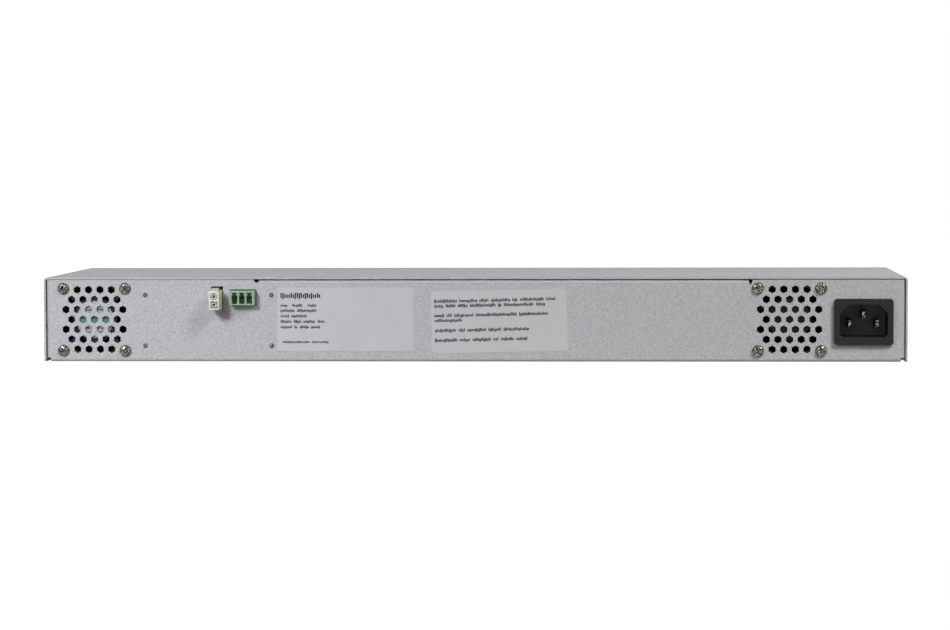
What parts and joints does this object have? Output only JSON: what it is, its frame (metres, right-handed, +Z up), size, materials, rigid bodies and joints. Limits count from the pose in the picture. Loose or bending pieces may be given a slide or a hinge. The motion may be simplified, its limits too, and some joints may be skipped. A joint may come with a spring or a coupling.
{
  "type": "rackmount power supply",
  "caption": "Flat one-unit rackmount power supply in a folded sheet-metal case, with fan grilles, mains inlet and low-voltage output headers on its rear wall.",
  "frame": {"origin": "on the surface that the unit rests on, under the middle of its bounding box", "axes": "+X to the right seen from behind the unit, +Y from the rear wall to the front wall, +Z up"},
  "size_m": [0.442, 0.143, 0.0432],
  "materials": {
    "enclosure_paint": "silver-grey powder coat, fine sparkle, satin",
    "screw_steel": "nickel plated, bright",
    "board_laminate": "glass laminate under green resist",
    "post_steel": "zinc plated",
    "natural_nylon": "natural nylon, semi-matt",
    "tinned_metal": "tinned, bright",
    "green_housing": "green moulding, satin",
    "black_plastic": "black moulding, satin",
    "insulator_film": "translucent film",
    "fuse_ceramic": "unglazed white",
    "ferrite": "dark grey ferrite",
    "enamelled_copper": "enamelled copper wire",
    "film_box": "moulded yellow box",
    "can_sleeve": "black shrink sleeve",
    "heatsink_alloy": "extruded, plain",
    "package_epoxy": "moulded epoxy",
    "winding_tape": "yellow polyester tape",
    "lead_jacket": "sleeved flat lead",
    "sticker_film": "silver-grey polyester film",
    "lamp_clear": "clear light pipe",
    "fan_plastic": "glass-filled black moulding",
    "sintered_bronze": "sintered bronze",
    "motor_steel": "laminated core",
    "shaft_steel": "ground steel"
  },
  "bodies": {
    "enclosure": {"base_tray": "enclosure_paint", "top_cover": "enclosure_paint", "cover_screws": "screw_steel", "fan_screws": "screw_steel", "output_board": "board_laminate", "converter_board": "board_laminate", "board_posts": "post_steel", "board_supports": "natural_nylon", "power_header": "natural_nylon", "power_pins": "tinned_metal", "signal_header": "green_housing", "signal_pins": "tinned_metal", "mains_inlet": "black_plastic", "inlet_pins": "tinned_metal", "insulating_sheet": "insulator_film", "input_terminals": "green_housing", "output_terminals": "green_housing", "input_fuse": "fuse_ceramic", "fuse_clips": "tinned_metal", "filter_core": "ferrite", "filter_windings": "enamelled_copper", "filter_capacitor": "film_box", "bulk_capacitor": "can_sleeve", "output_capacitors": "can_sleeve", "primary_heatsink": "heatsink_alloy", "secondary_heatsink": "heatsink_alloy", "bridge_rectifier": "package_epoxy", "power_transistors": "package_epoxy", "transformer_core": "ferrite", "transformer_winding": "winding_tape", "output_inductor": "ferrite", "fan_plugs": "natural_nylon", "mains_leads": "lead_jacket", "earth_lead": "lead_jacket", "output_leads": "lead_jacket", "left_fan_lead": "lead_jacket", "right_fan_lead": "lead_jacket", "earth_tab": "tinned_metal", "rating_sticker": "sticker_film", "notice_sticker": "sticker_film", "status_lamp": "lamp_clear", "left_fan_frame": "fan_plastic", "left_fan_bearing": "sintered_bronze", "left_fan_stator": "motor_steel", "right_fan_frame": "fan_plastic", "right_fan_bearing": "sintered_bronze", "right_fan_stator": "motor_steel"},
    "left_rotor": {"left_fan_rotor": "fan_plastic", "left_fan_shaft": "shaft_steel"},
    "right_rotor": {"right_fan_rotor": "fan_plastic", "right_fan_shaft": "shaft_steel"}
  },
  "joints": [
    {"name": "left_fan_spin", "type": "hinge", "parent": "enclosure", "child": "left_rotor", "pos_m": [-0.1948, -0.0473, 0.0216], "axis": [0, 1, 0], "continuous": true},
    {"name": "right_fan_spin", "type": "hinge", "parent": "enclosure", "child": "right_rotor", "pos_m": [0.1613, -0.0473, 0.0216], "axis": [0, 1, 0], "continuous": true}
  ]
}
